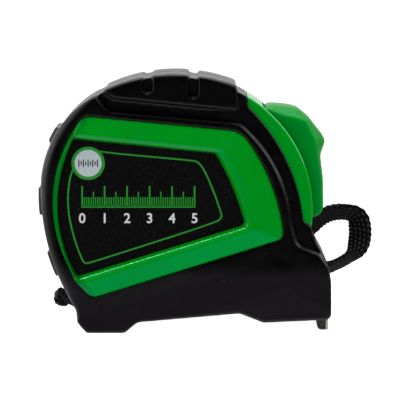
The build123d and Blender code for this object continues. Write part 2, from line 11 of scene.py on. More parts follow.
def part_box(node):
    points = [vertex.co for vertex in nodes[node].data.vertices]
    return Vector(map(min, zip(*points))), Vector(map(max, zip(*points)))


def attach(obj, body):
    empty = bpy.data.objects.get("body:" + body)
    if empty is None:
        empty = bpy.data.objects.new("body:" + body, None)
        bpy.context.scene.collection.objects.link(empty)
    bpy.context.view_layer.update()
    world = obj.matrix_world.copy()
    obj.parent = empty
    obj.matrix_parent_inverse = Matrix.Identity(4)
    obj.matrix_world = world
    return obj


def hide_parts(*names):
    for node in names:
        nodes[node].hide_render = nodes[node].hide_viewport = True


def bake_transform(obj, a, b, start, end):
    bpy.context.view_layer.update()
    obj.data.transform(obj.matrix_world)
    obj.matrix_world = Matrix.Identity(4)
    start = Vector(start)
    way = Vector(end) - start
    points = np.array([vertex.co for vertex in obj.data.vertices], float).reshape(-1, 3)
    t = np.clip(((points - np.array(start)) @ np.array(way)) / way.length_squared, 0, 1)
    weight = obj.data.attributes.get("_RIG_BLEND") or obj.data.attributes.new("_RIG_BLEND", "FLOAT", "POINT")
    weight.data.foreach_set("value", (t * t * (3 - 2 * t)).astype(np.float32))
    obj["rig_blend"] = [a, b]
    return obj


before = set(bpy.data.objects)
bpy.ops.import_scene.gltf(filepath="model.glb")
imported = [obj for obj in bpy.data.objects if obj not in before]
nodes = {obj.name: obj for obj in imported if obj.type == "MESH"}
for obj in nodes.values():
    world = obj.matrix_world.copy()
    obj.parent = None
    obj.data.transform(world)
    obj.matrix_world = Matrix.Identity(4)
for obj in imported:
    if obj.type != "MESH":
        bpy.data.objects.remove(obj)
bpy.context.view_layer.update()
scene = bpy.context.scene

OX, OY = -4.125, 2.97


def mm(x, y, z):
    return ((x - OX) / 1000.0, (y - OY) / 1000.0, z / 1000.0)


# ------------------------------------------------------------------ camera
CAM_D, CAM_EL, AIM_Z = 800.0, math.radians(5.0), 33.172
cam_data = bpy.data.cameras.new("camera")
cam_data.sensor_fit = "HORIZONTAL"
cam_data.sensor_width = 36.0
cam_data.lens = 3016.0 / 400.0 * 36.0
cam_data.clip_start, cam_data.clip_end = 0.01, 60.0
cam = bpy.data.objects.new("camera", cam_data)
scene.collection.objects.link(cam)
cam_at = Vector(mm(0, -CAM_D * math.cos(CAM_EL), AIM_Z + CAM_D * math.sin(CAM_EL)))
aim = Vector(mm(0, 0, AIM_Z))
cam.location = cam_at
cam.rotation_euler = (aim - cam_at).to_track_quat("-Z", "Y").to_euler()
scene.camera = cam


# ------------------------------------------------------------------ mesh helpers
def mesh_object(name, verts, faces, smooth=True):
    me = bpy.data.meshes.new(name)
    me.from_pydata([tuple(v) for v in verts], [], faces)
    me.update()
    if smooth:
        me.polygons.foreach_set("use_smooth", [True] * len(me.polygons))
    o = bpy.data.objects.new(name, me)
    scene.collection.objects.link(o)
    return o


def face_out(o):
    """Turns every face of a closed mesh outwards."""
    import bmesh
    bm = bmesh.new()
    bm.from_mesh(o.data)
    bmesh.ops.recalc_face_normals(bm, faces=bm.faces[:])
    bm.to_mesh(o.data)
    bm.free()
    o.data.update()
    return o


def smooth_by_angle(o, angle=math.radians(35)):
    o.data.polygons.foreach_set("use_smooth", [True] * len(o.data.polygons))
    o.data.set_sharp_from_angle(angle=angle)


# ------------------------------------------------------------------ material helpers
class Mat:
    def __init__(self, name, **sockets):
        self.m = bpy.data.materials.new(name)
        self.m.use_nodes = True
        self.nt = self.m.node_tree
        self.nt.nodes.clear()
        self.out = self.nt.nodes.new("ShaderNodeOutputMaterial")
        self.b = self.nt.nodes.new("ShaderNodeBsdfPrincipled")
        self.nt.links.new(self.b.outputs[0], self.out.inputs[0])
        self.tc = self.nt.nodes.new("ShaderNodeTexCoord")
        self.obj = self.tc.outputs["Object"]
        for k, v in sockets.items():
            self.b.inputs[k.replace("_", " ")].default_value = v

    def link(self, a, b):
        self.nt.links.new(a, b)

    def stretch(self, sx, sy, sz):
        n = self.nt.nodes.new("ShaderNodeMapping")
        n.inputs["Scale"].default_value = (sx, sy, sz)
        self.link(self.obj, n.inputs["Vector"])
        return n.outputs[0]

    def noise(self, scale, detail=3.0, rough=0.55, coord=None, distort=0.0):
        n = self.nt.nodes.new("ShaderNodeTexNoise")
        n.inputs["Scale"].default_value = scale
        n.inputs["Detail"].default_value = detail
        n.inputs["Roughness"].default_value = rough
        n.inputs["Distortion"].default_value = distort
        self.link(coord or self.obj, n.inputs["Vector"])
        return n.outputs["Fac"]

    def cells(self, scale, coord=None, feature="F1"):
        n = self.nt.nodes.new("ShaderNodeTexVoronoi")
        n.feature = feature
        n.inputs["Scale"].default_value = scale
        self.link(coord or self.obj, n.inputs["Vector"])
        return n.outputs["Distance"]

    def ramp(self, fac, *stops):
        n = self.nt.nodes.new("ShaderNodeValToRGB")
        e = n.color_ramp.elements
        while len(e) < len(stops):
            e.new(0.5)
        for el, (p, c) in zip(e, stops):
            el.position = p
            el.color = (*c, 1.0) if hasattr(c, "__len__") else (c, c, c, 1.0)
        self.link(fac, n.inputs["Fac"])
        return n.outputs["Color"]

    def math(self, op, a, b=None, c=None):
        n = self.nt.nodes.new("ShaderNodeMath")
        n.operation = op
        for i, v in enumerate((a, b, c)):
            if v is None:
                continue
            if isinstance(v, (int, float)):
                n.inputs[i].default_value = v
            else:
                self.link(v, n.inputs[i])
        return n.outputs[0]

    def mix(self, fac, a, b):
        n = self.nt.nodes.new("ShaderNodeMix")
        n.data_type = "RGBA"
        for i, v in ((0, fac), (6, a), (7, b)):
            if hasattr(v, "is_linked"):
                self.link(v, n.inputs[i])
            elif hasattr(v, "__len__"):
                n.inputs[i].default_value = (*v, 1.0)
            else:
                n.inputs[i].default_value = v
        return n.outputs[2]

    def spread(self, fac, lo, hi, f0=0.3, f1=0.7):
        n = self.nt.nodes.new("ShaderNodeMapRange")
        n.inputs["From Min"].default_value = f0
        n.inputs["From Max"].default_value = f1
        n.inputs["To Min"].default_value = lo
        n.inputs["To Max"].default_value = hi
        self.link(fac, n.inputs["Value"])
        return n.outputs[0]

    def bump(self, height, depth_mm, strength=1.0, normal=None):
        n = self.nt.nodes.new("ShaderNodeBump")
        n.inputs["Strength"].default_value = strength
        n.inputs["Distance"].default_value = depth_mm / 1000.0
        self.link(height, n.inputs["Height"])
        if normal is not None:
            self.link(normal, n.inputs["Normal"])
        return n.outputs[0]

    def soft_edge(self, radius_mm):
        n = self.nt.nodes.new("ShaderNodeBevel")
        n.samples = 6
        n.inputs["Radius"].default_value = radius_mm / 1000.0
        return n.outputs[0]

    def to(self, socket, value):
        self.link(value, self.b.inputs[socket])
        return self


def green_plastic(name, deep, lit, rough, coat, spec, rear=0.0):
    """Moulded glossy plastic: slight flow marks in the colour, fine orange peel, light rub marks."""
    a = Mat(name, Specular_IOR_Level=spec, Specular_Tint=(0.0, 1.0, 0.8, 1.0), Coat_Roughness=0.12)
    # the clear skin glints where the surface turns away
    turn = a.nt.nodes.new("ShaderNodeLayerWeight")
    turn.inputs["Blend"].default_value = 0.5
    skin = a.spread(turn.outputs["Facing"], 0.0, coat, 0.16, 0.32)
    a.to("Coat Weight", a.math("MULTIPLY", skin, a.spread(turn.outputs["Facing"], 1.0, 0.0, 0.45, 0.6)))
    flow = a.noise(38.0, 4.0, 0.6, a.stretch(1.0, 2.0, 0.6))
    col = a.ramp(flow, (0.32, deep), (0.72, lit))
    grime = a.noise(900.0, 5.0, 0.65)
    col = a.mix(a.spread(grime, 0.0, 0.1, 0.66, 0.84), col, tuple(c * 0.6 for c in deep))
    if rear:
        # painted shade: at the rear the frame thins out to an edge, and its colour is made deeper there to stand for
        # the shade on that edge
        sep = a.nt.nodes.new("ShaderNodeSeparateXYZ")
        a.link(a.obj, sep.inputs[0])
        dx = a.math("ADD", a.math("MULTIPLY", sep.outputs["X"], 1000.0), 0.4 + OX)
        dz = a.math("ADD", a.math("MULTIPLY", sep.outputs["Z"], 1000.0), -33.5)
        out = a.math("SQRT", a.math("ADD", a.math("MULTIPLY", dx, dx), a.math("MULTIPLY", dz, dz)))
        edge = a.math("MULTIPLY", a.spread(out, 0.0, 1.0, 35.2, 36.9), a.spread(dx, 1.0, 0.0, -27.0, -22.0))
        col = a.mix(edge, col, tuple(c * rear for c in deep))
    a.to("Base Color", col)
    rub = a.noise(240.0, 6.0, 0.7, a.stretch(1.0, 1.0, 3.0))
    a.to("Roughness", a.spread(rub, rough - 0.05, rough + 0.1))
    peel = a.noise(2300.0, 2.0, 0.5)
    a.to("Normal", a.bump(peel, 0.006, 0.5, a.soft_edge(0.3)))
    return a.m


def black_rubber(name, dark, pale, painted_light_tint, rough):
    """Moulded soft-touch rubber: fine grain, cloudy bloom and a few specks of dust."""
    a = Mat(name, Specular_IOR_Level=0.3)
    bloom = a.noise(70.0, 5.0, 0.6)
    col = a.ramp(bloom, (0.3, dark), (0.75, pale))
    # painted light: towards the foot and at the rear rim the rubber is coloured paler, standing for the floor's
    # reflection low down and the highlight along the rear edge
    sep = a.nt.nodes.new("ShaderNodeSeparateXYZ")
    a.link(a.obj, sep.inputs[0])
    painted_light_height = a.math("ADD", a.math("MULTIPLY", sep.outputs["Z"], 1000.0), a.math("MULTIPLY", bloom, 6.0))
    col = a.mix(a.spread(painted_light_height, 1.0, 0.0, 17.5, 21.5), col, painted_light_tint)
    rear = a.math("ADD", a.math("MULTIPLY", sep.outputs["X"], 1000.0), OX)
    col = a.mix(a.spread(rear, 0.6, 0.0, -40.5, -37.0), col, painted_light_tint)
    dust = a.noise(1500.0, 1.0, 0.4)
    col = a.mix(a.spread(dust, 0.0, 0.5, 0.795, 0.86), col, (0.16, 0.155, 0.16))
    a.to("Base Color", col)
    smear = a.noise(320.0, 5.0, 0.65)
    a.to("Roughness", a.spread(smear, rough - 0.07, rough + 0.09))
    grain = a.noise(4600.0, 3.0, 0.55)
    a.to("Normal", a.bump(grain, 0.012, 0.5, a.soft_edge(0.2)))
    return a.m


def grained_label():
    """Black film with a fine leather grain that sparkles slightly."""
    a = Mat("label_film", Specular_IOR_Level=0.14)
    speck = a.noise(2700.0, 4.0, 0.7)
    a.to("Base Color", a.ramp(speck, (0.42, 0.0003), (0.56, 0.0011), (0.7, 0.017)))
    a.to("Roughness", a.spread(speck, 0.62, 0.42))
    hide = a.cells(1500.0)
    a.to("Normal", a.bump(a.math("ADD", hide, speck), 0.035, 0.6))
    return a.m


def metal(name, tint, rough, lines, depth=0.006):
    """Plated sheet metal with rolling lines along one axis and faint tarnish."""
    a = Mat(name, Metallic=1.0)
    brush = a.noise(1.0, 4.0, 0.6, a.stretch(*lines))
    stain = a.noise(160.0, 5.0, 0.65)
    a.to("Base Color", a.mix(a.spread(stain, 0.0, 0.55, 0.45, 0.8), tint, tuple(c * 0.55 for c in tint)))
    a.to("Roughness", a.spread(brush, rough - 0.08, rough + 0.14))
    a.to("Normal", a.bump(brush, depth, 0.5, a.soft_edge(0.1)))
    return a.m


def dull_plastic(name, dark, pale, rough=0.5):
    a = Mat(name, Specular_IOR_Level=0.4)
    a.to("Base Color", a.ramp(a.noise(110.0, 5.0, 0.6), (0.3, dark), (0.72, pale)))
    a.to("Roughness", a.spread(a.noise(500.0, 4.0), rough - 0.08, rough + 0.1))
    a.to("Normal", a.bump(a.noise(3000.0, 3.0), 0.015, 0.5, a.soft_edge(0.12)))
    return a.m


def ink(name, colour, rough=0.5):
    """Printed or foiled mark: uneven ink with pinholes."""
    a = Mat(name, Specular_IOR_Level=0.3)
    thin = a.noise(2200.0, 4.0, 0.7)
    a.to("Base Color", a.ramp(thin, (0.28, tuple(c * 0.72 for c in colour)), (0.6, colour)))
    a.to("Roughness", a.spread(thin, rough + 0.1, rough - 0.06))
    a.to("Normal", a.bump(thin, 0.01, 0.4))
    return a.m


def braid_nylon():
    """Black nylon braid: painted shade in the dark gaps between the strands and painted light on the greyish strand
    tops, both read from the weave's height, and fine fibres along the strands.
    """
    a = Mat("braid_nylon", Specular_IOR_Level=0.11, Sheen_Weight=0.012, Sheen_Roughness=0.4)
    weave_light_shade = a.nt.nodes.new("ShaderNodeAttribute")
    weave_light_shade.attribute_name = "weave_light_shade"
    fibre = a.noise(5200.0, 3.0, 0.6, a.stretch(1.0, 1.0, 0.35))
    cloud = a.noise(420.0, 3.0)
    height = a.math("ADD", weave_light_shade.outputs["Fac"], a.math("MULTIPLY", a.math("SUBTRACT", cloud, 0.5), 0.35))
    # painted shade in the gaps and painted light on the strand tops
    a.to("Base Color", a.ramp(height, (0.4, (0.0002, 0.0002, 0.0002)), (0.75, (0.0016, 0.0014, 0.0015)), (1.0, (0.024, 0.0222, 0.023))))
    a.to("Roughness", a.spread(fibre, 0.42, 0.66))
    a.to("Normal", a.bump(fibre, 0.03, 0.6))
    return a.m


# the scale printed on the blade counts millimetres back from the hook's inner face
BLADE_ZERO = (32.45 - OX)


def blade_paint():
    a = Mat("blade_paint", Specular_IOR_Level=0.5)
    sep = a.nt.nodes.new("ShaderNodeSeparateXYZ")
    a.link(a.obj, sep.inputs[0])
    d = a.math("SUBTRACT", BLADE_ZERO, a.math("MULTIPLY", sep.outputs["X"], 1000.0))
    side = a.math("ABSOLUTE", a.math("ADD", a.math("MULTIPLY", sep.outputs["Y"], 1000.0), OY))
    # ticks at every 1, 5 and 10 mm, longer as the step grows, along both edges
    def ticks(step, wide, reach):
        ph = a.math("WRAP", d, step / 2.0, -step / 2.0)
        line = a.math("LESS_THAN", a.math("ABSOLUTE", ph), wide / 2.0)
        near = a.math("GREATER_THAN", side, 12.5 - reach)
        return a.math("MULTIPLY", line, near)
    mark = a.math("MAXIMUM", ticks(1.0, 0.2, 2.4), a.math("MAXIMUM", ticks(5.0, 0.25, 4.0), ticks(10.0, 0.3, 7.2)))
    edge = a.math("GREATER_THAN", side, 12.28)
    mark = a.math("MAXIMUM", mark, edge)
    wear = a.noise(260.0, 6.0, 0.7, a.stretch(0.35, 1.0, 1.0))
    yellow = a.ramp(wear, (0.3, (0.70, 0.43, 0.006)), (0.7, (0.82, 0.53, 0.012)))
    a.to("Base Color", a.mix(mark, yellow, (0.012, 0.012, 0.013)))
    a.to("Roughness", a.spread(wear, 0.24, 0.4))
    a.to("Normal", a.bump(a.noise(1800.0, 3.0), 0.006, 0.4))
    return a.m


M = {
    "case_green": green_plastic("case_plastic", (0.0, 0.17, 0.0006), (0.0, 0.192, 0.0012), 0.2, 0.45, 0.54, 0.66),
    "lock_green": green_plastic("lock_plastic", (0.0, 0.15, 0.001), (0.0, 0.176, 0.003), 0.42, 0.0, 0.32),
    "grip_rubber": black_rubber("grip_rubber", (0.0003, 0.0002, 0.0003), (0.0011, 0.0008, 0.0011), (0.0052, 0.0041, 0.0054), 0.36),
    "label_black": grained_label(),
    "inner_plastic": dull_plastic("inner_plastic", (0.012, 0.012, 0.013), (0.03, 0.03, 0.031)),
    "bright_steel": metal("bright_steel", (0.62, 0.61, 0.6), 0.3, (2600, 300, 2600)),
    "clip_steel": metal("clip_steel", (0.5, 0.495, 0.49), 0.3, (3200, 3200, 120)),
    "spring_steel": metal("spring_steel", (0.42, 0.42, 0.44), 0.34, (300, 2600, 300)),
    "hook_nickel": metal("hook_nickel", (0.5, 0.47, 0.44), 0.26, (2600, 160, 2600)),
    "blade_print": blade_paint(),
    "strap_black": braid_nylon(),
}
INK_GREEN = ink("ink_green", (0.0, 0.19, 0.006))
INK_GREY = ink("ink_grey", (0.44, 0.44, 0.47))
INK_BLACK = ink("ink_black", (0.012, 0.012, 0.013))
PLATE_PALE = ink("badge_pale", (0.305, 0.355, 0.38), 0.32)
STRAP_MAT = M["strap_black"]

for o in nodes.values():
    for s in o.material_slots:
        if s.material and s.material.name in M:
            s.material = M[s.material.name]


# ------------------------------------------------------------------ moulded pieces with rounded edges
def soft_copy(node, name, voxel_mm, rounds, shape=None, back_from=None):
    """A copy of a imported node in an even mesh, with its sharp edges rubbed round, and its own shape() on points in drawing millimetres.
    Faces at the depth back_from lie on another piece, and go 1.2 mm into it so that thin walls survive."""
    src = nodes[node]
    me = src.data.copy()
    me.transform(Matrix.Scale(1000.0, 4))
    o = bpy.data.objects.new(name, me)
    scene.collection.objects.link(o)
    import bmesh
    bm = bmesh.new()
    bm.from_mesh(me)
    bmesh.ops.remove_doubles(bm, verts=bm.verts[:], dist=1e-4)
    for v in bm.verts:
        if back_from and abs(abs(v.co.y + OY) - back_from) < 0.02:
            v.co.y -= math.copysign(1.2, v.co.y + OY)
    bm.to_mesh(me)
    bm.free()
    m = o.modifiers.new("even", "REMESH")
    m.mode, m.voxel_size, m.adaptivity = "VOXEL", voxel_mm, 0.0
    m = o.modifiers.new("rub", "SMOOTH")
    m.factor, m.iterations = 0.5, rounds
    bpy.context.view_layer.update()
    out = bpy.data.meshes.new_from_object(o.evaluated_get(bpy.context.evaluated_depsgraph_get()))
    o.modifiers.clear()
    n = len(out.vertices)
    co = np.empty(n * 3)
    out.vertices.foreach_get("co", co)
    co = co.reshape(n, 3)
    if shape:
        co = shape(co + np.array([OX, OY, 0.0])) - np.array([OX, OY, 0.0])
    out.vertices.foreach_set("co", (co / 1000.0).ravel())
    slot_name = src.material_slots[0].material.name
    for k in list(out.attributes.keys()):
        if k in ("sharp_edge", "sharp_face", "custom_normal"):
            out.attributes.remove(out.attributes[k])
    out.polygons.foreach_set("use_smooth", [True] * len(out.polygons))
    out.polygons.foreach_set("material_index", [0] * len(out.polygons))
    out.materials.clear()
    out.materials.append(src.material_slots[0].material)
    out.update()
    o.data = out
    bpy.data.meshes.remove(me)
    return o


REAR = (((-11.6, 37.1), 29.74, 35.6, 66.0), ((11.1, 35.4), 52.5, 6.5, 35.6))
REAR_R, RIM_D = 2.6, 18.0


def round_rear(p):
    """The rim's outer rear edge, rounded to a full radius."""
    p = p.copy()
    for c, r, z0, z1 in REAR:
        d = p[:, [0, 2]] - np.array(c)
        dist = np.linalg.norm(d, axis=1)
        inn = r - dist
        f = RIM_D - np.abs(p[:, 1])
        on = (p[:, 2] >= z0) & (p[:, 2] < z1) & (p[:, 0] < -26.0) & (inn < REAR_R) & (f < REAR_R)
        # the rounding fades out towards the channel and towards the foot
        fade = ease(p[:, 2], 6.5, 12.0) * (1 - ease(p[:, 2], 58.0, 61.5))
        q = np.stack([REAR_R - inn, REAR_R - f], axis=1)
        ln = np.linalg.norm(q, axis=1)
        k = np.where(ln > REAR_R, REAR_R / np.maximum(ln, 1e-9), 1.0)
        k = 1 + (k - 1) * fade
        inn2, f2 = REAR_R - q[:, 0] * k, REAR_R - q[:, 1] * k
        new = np.array(c) + d * ((r - inn2) / np.maximum(dist, 1e-9))[:, None]
        p[on, 0], p[on, 2] = new[on, 0], new[on, 1]
        p[on, 1] = np.sign(p[on, 1]) * (RIM_D - f2[on])
    return p


def ease(x, a, b):
    t = np.clip((x - a) / (b - a), 0, 1)
    return t * t * (3 - 2 * t)


def grip_shape(p):
    """The rounded rear edge, and a channel under the pad that runs out gently at its front end."""
    p = round_rear(p)
    d = np.abs(p[:, 1])
    floor = (p[:, 0] > 0.5) & (p[:, 0] < 10.9) & (p[:, 2] > 52.0) & (d > 16.05) & (d < 16.85)
    level = 16.2 + 0.6 * ease(p[:, 0], 1.0, 10.2)
    up = np.where(d < level, level - 0.05 * (level - d), d)
    p[floor, 1] = np.sign(p[floor, 1]) * up[floor]
    return p


for node in ("grip_near", "grip_far"):
    o = soft_copy(node, f"{node}_moulded", 0.36, 4, grip_shape, 16.0)
    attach(o, "case")
    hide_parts(node)
o = soft_copy("lock_button", "lock_button_moulded", 0.25, 60)
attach(o, "lock")
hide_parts("lock_button")


def hook_shape(p):
    """The hook's side wings narrow towards their tips."""
    low = np.clip((2.6 - p[:, 2]) / 2.6, 0.0, 1.0) * np.clip((32.6 - p[:, 0]) / 2.3, 0.0, 1.0)
    p[:, 0] += 0.62 * low
    return p


hook = soft_copy("end_hook", "end_hook_pressed", 0.13, 6, hook_shape)
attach(hook, "hook")
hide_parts("end_hook")


# ------------------------------------------------------------------ wrist strap
ROUTE = [
    (-25.7, 19.7, 9.3), (-19.0, 20.6, 11.8), (-8.0, 20.5, 15.4), (6.0, 20.6, 19.4),
    (19.0, 20.9, 21.8), (28.8, 21.4, 22.6), (33.6, 21.8, 27.2), (38.2, 21.9, 28.3),
    (43.0, 21.9, 27.4), (43.9, 21.9, 22.6), (43.0, 21.9, 17.4), (38.9, 22.0, 14.2),
    (33.5, 21.9, 12.2), (20.0, 20.8, 11.0), (6.0, 20.6, 9.6), (-8.0, 20.5, 9.2),
    (-19.0, 20.6, 8.2), (-25.7, 19.7, 6.6),
]
STRAP_W, STRAP_T = 6.2, 1.5


def spline_points(name, points, resolution):
    """Points of the NURBS line through which a cord runs, as Blender evaluates it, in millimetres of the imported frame."""
    cu = bpy.data.curves.new(name, "CURVE")
    cu.dimensions = "3D"
    sp = cu.splines.new("NURBS")
    sp.points.add(len(points) - 1)
    for p, q in zip(sp.points, points):
        p.co = (*mm(*q), 1.0)
    sp.order_u = 3
    sp.use_endpoint_u = True
    sp.resolution_u = resolution
    ob = bpy.data.objects.new(name, cu)
    scene.collection.objects.link(ob)
    bpy.context.view_layer.update()
    me = bpy.data.meshes.new_from_object(ob)
    pts = np.array([v.co for v in me.vertices], float) * 1000.0
    bpy.data.objects.remove(ob)
    bpy.data.meshes.remove(me)
    bpy.data.curves.remove(cu)
    return pts


def unit(v):
    return v / np.maximum(np.linalg.norm(v, axis=-1, keepdims=True), 1e-12)


def dome(f):
    """Rounded hump, 0 at the ends of a step and 1 in its middle."""
    f = f - np.floor(f)
    return 1 - (2 * f - 1) ** 2


def ribs(u, v):
    """Height, 0 to 1, of slanting strands that lie side by side, u along and v across in millimetres."""
    a = (0.66 * u + 0.75 * v) / 0.9
    b = (0.75 * u - 0.66 * v) / 1.7 + 0.5 * np.floor(a)
    return dome(a) ** 0.7 * (0.78 + 0.22 * dome(b))


def cells(u, v):
    """Height, 0 to 1, of a plain braid of short rounded strands in staggered columns."""
    c = v / 1.16 + 0.5
    r = (u + 0.3 * v) / 1.28 + 0.5 * np.floor(c)
    return (dome(c) * dome(r)) ** 0.55


path = spline_points("strap_line", ROUTE, 64)
path = path[np.concatenate([[True], np.linalg.norm(np.diff(path, axis=0), axis=1) > 1e-4])]
step = np.linalg.norm(np.diff(path, axis=0), axis=1)
run = np.concatenate([[0], np.cumsum(step)])
tang = unit(np.gradient(path, axis=0))
across = unit(np.cross(tang, np.array([0.0, 1.0, 0.0])))
px = path[:, 0] + OX          # drawing x


def along(keys):
    """Values given at places (x, z) of the drawing, in order along the strap, and read between them."""
    at, last = [], 0
    for x, z, _ in keys:
        d = np.hypot(px[last:] - x, path[last:, 2] - z)
        last += int(np.argmin(d))
        at.append(run[last])
    return np.interp(run, at, [k[2] for k in keys])


# the braid lies flat on the case's side, leans back over the top of the loop, hangs flat in front and turns half edge-on below
turn = along([(12, 20.7, 0), (24, 22.2, 6), (31, 24.8, 44), (36, 27.7, 42), (40.6, 27.9, 44), (43.4, 25.4, 14), (43.5, 21, 2),
              (42.8, 18, -20), (40.9, 15.8, -60), (36.2, 13.2, -62), (30, 12, -30), (22, 11.2, 0)])
turn = np.radians(np.convolve(np.pad(turn, 12, mode="edge"), np.ones(25) / 25, mode="valid"))
wide = np.cos(turn)[:, None] * across + np.sin(turn)[:, None] * np.cross(tang, across)
face = unit(np.cross(wide, tang))
plain = along([(38.2, 28.1, 0), (40.8, 27.8, 1), (42.6, 17.8, 1), (40.6, 15.6, 0)])
# two creases across the braid where it folds over at the front of the loop
fold = np.zeros(len(path))
for x, z, depth, width in ((43.55, 24.6, 0.5, 0.42), (43.6, 23.5, 0.3, 0.3)):
    k = int(np.argmin(np.hypot(px - x, path[:, 2] - z)))
    fold += depth * np.exp(-((run - run[k]) / width) ** 2)
# both legs gather where they go into the same hole
gather = ease(px, -26.5, -5.0)
w_here = 2.5 + (STRAP_W - 2.5) * gather
t_here = 2.1 + (STRAP_T - 2.1) * gather
K = 44
cols = np.linspace(-1, 1, K + 1)
swell = np.sqrt(np.clip(1 - np.abs(cols) ** 3.4, 0, 1))
fade = np.clip((1 - np.abs(cols)) * 9, 0, 1)
RELIEF = 0.34
rows_top, rows_bot, weave_light_shade = [], [], []
for i in range(len(path)):
    w = w_here[i] * (1 + 0.03 * math.sin(2 * math.pi * run[i] / 1.28))
    v = cols * w / 2
    u = np.full(K + 1, run[i])
    h = plain[i] * cells(u, v) + (1 - plain[i]) * ribs(u, v)
    h2 = plain[i] * cells(u + 0.6, v) + (1 - plain[i]) * ribs(u, -v)
    cut = fold[i] * np.ones(K + 1)
    base = swell * (t_here[i] / 2 - 0.2)
    top = path[i] + v[:, None] * wide[i] + (base + fade * (RELIEF * h - cut))[:, None] * face[i]
    bot = path[i] + v[:, None] * wide[i] - (base + fade * RELIEF * h2)[:, None] * face[i]
    rows_top.append(top)
    rows_bot.append(bot[1:-1][::-1])
    # the colour value is the weave's height, lowered in the fold creases: painted shade in the gaps and creases,
    # painted light on the strand tops
    weave_light_shade.append(np.concatenate([np.clip(h - 1.6 * cut, 0, 1), h2[1:-1][::-1]]))
ring = np.concatenate([np.array(rows_top), np.array(rows_bot)], axis=1)
R = ring.shape[1]
verts = (ring.reshape(-1, 3) / 1000.0).tolist()
faces = []
for i in range(len(path) - 1):
    for j in range(R):
        k = (j + 1) % R
        faces.append((i * R + j, i * R + k, (i + 1) * R + k, (i + 1) * R + j))
faces.append(tuple(range(R)))
faces.append(tuple(range((len(path) - 1) * R, len(path) * R))[::-1])
strap = face_out(mesh_object("wrist_strap_braid", verts, faces))
strap.data.attributes.new("weave_light_shade", "FLOAT", "POINT").data.foreach_set("value", np.array(weave_light_shade).ravel())
strap.data.materials.append(STRAP_MAT)
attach(strap, "case")
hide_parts("wrist_strap")

# the strap's two ends are tied in a stopper knot outside the rear of the case
KNOT = np.array([-35.9, 4.6, 6.9])
t = np.linspace(0, 2 * math.pi, 220, endpoint=False)
loop = np.stack([np.sin(t) + 2 * np.sin(2 * t), np.cos(t) - 2 * np.cos(2 * t), -np.sin(3 * t)], axis=1) * np.array([0.58, 0.56, 1.3])
outward = unit(np.array([-0.93, -0.12, 0.3]))
side_v = unit(np.cross(np.array([0.0, 0.0, 1.0]), outward))
up_v = np.cross(outward, side_v)
centre = KNOT + outward * 0.75 + np.array([0.0, 0.0, -0.25])
verts, faces, weave_light_shade = [], [], []
KS = 24


def ribbed_tube(line, closed, ru, rv, hub):
    """Adds a ribbed strand along a line to the knot, closed on itself or with rounded ends."""
    n = len(line)
    if closed:
        kt = unit(np.roll(line, -1, 0) - np.roll(line, 1, 0))
    else:
        kt = unit(np.gradient(line, axis=0))
    kn = unit(line - hub + 1e-6)
    kn = unit(kn - (kn * kt).sum(1, keepdims=True) * kt)
    kb = np.cross(kt, kn)
    krun = np.concatenate([[0], np.cumsum(np.linalg.norm(np.diff(line, axis=0), axis=1))])
    total = krun[-1] + (np.linalg.norm(line[0] - line[-1]) if closed else 0)
    count = round(total / 0.8)
    first = len(verts)
    for i in range(n):
        end = 1.0 if closed else math.sqrt(max(0.0, 1 - max(0.0, abs(2 * i / (n - 1) - 1) - 0.7) ** 2 / 0.09 * 0.92))
        for j in range(KS):
            ang = 2 * math.pi * j / KS
            rib = (0.5 + 0.5 * math.cos(2 * math.pi * count * krun[i] / total + 2 * ang)) ** 0.7
            r = (0.86 + 0.2 * rib) * end
            p = line[i] + r * (math.cos(ang) * ru * kb[i] + math.sin(ang) * rv * kn[i])
            verts.append(mm(*p))
            # the ribs' height darkens the colour between the ribs as painted shade and lightens their crests as painted
            # light
            weave_light_shade.append(rib)
    for i in range(n if closed else n - 1):
        m = (i + 1) % n
        for j in range(KS):
            k = (j + 1) % KS
            faces.append((first + i * KS + j, first + i * KS + k, first + m * KS + k, first + m * KS + j))
    if not closed:
        faces.append(tuple(range(first, first + KS)))
        faces.append(tuple(range(first + (n - 1) * KS, first + n * KS))[::-1])


ribbed_tube(centre + loop[:, :1] * side_v + loop[:, 1:2] * up_v + loop[:, 2:3] * outward, True, 1.16, 0.98, centre)
# the cut end stands up beside the knot, and the tucked end lies under it
q = np.linspace(0, 1, 24)[:, None]
ribbed_tube(KNOT + np.array([0.2, -0.3, 1.2]) + q * np.array([-0.15, -0.35, 2.35]), False, 0.86, 0.62, KNOT + np.array([4.0, 0.3, 2.0]))
ribbed_tube(KNOT + np.array([0.3, -0.6, -1.1]) + q * np.array([2.3, -0.4, -1.15]), False, 0.8, 0.6, KNOT + np.array([2.0, 0.3, 3.0]))
# both ends run side by side through the hole in the case
STRAP_OUT = np.array([-26.2, 18.9, 8.2])
q = np.linspace(0.02, 0.985, 90)[:, None]
ribbed_tube(KNOT + q * (STRAP_OUT - KNOT), False, 2.3, 2.3, KNOT + np.array([0.0, 8.0, 60.0]))
knot = face_out(mesh_object("strap_stopper_knot", verts, faces))
knot.data.attributes.new("weave_light_shade", "FLOAT", "POINT").data.foreach_set("value", np.array(weave_light_shade))
knot.data.materials.append(STRAP_MAT)
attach(knot, "case")
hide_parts("strap_knot")


# ------------------------------------------------------------------ blade
B_W, B_T, B_SAG, B_Z = 25.0, 0.2, 2.2, 10.0
B_X0, B_X1, B_FLAT = -8.5, 32.3, 8.0
CUT0, CUT1 = 18.2, 18.5          # the blade pays out between these two lines


def blade_row(x):
    k = min(1.0, max(0.0, (x - B_X0) / (B_FLAT - B_X0)))
    sag = 0.06 + (B_SAG - 0.06) * k
    ys = np.linspace(-B_W / 2, B_W / 2, 37)
    low = B_Z + sag * (2 * ys / B_W) ** 2
    lo = [(x, y, z) for y, z in zip(ys, low)]
    hi = [(x, y, z + B_T) for y, z in zip(ys, low)][::-1]
    return lo + hi


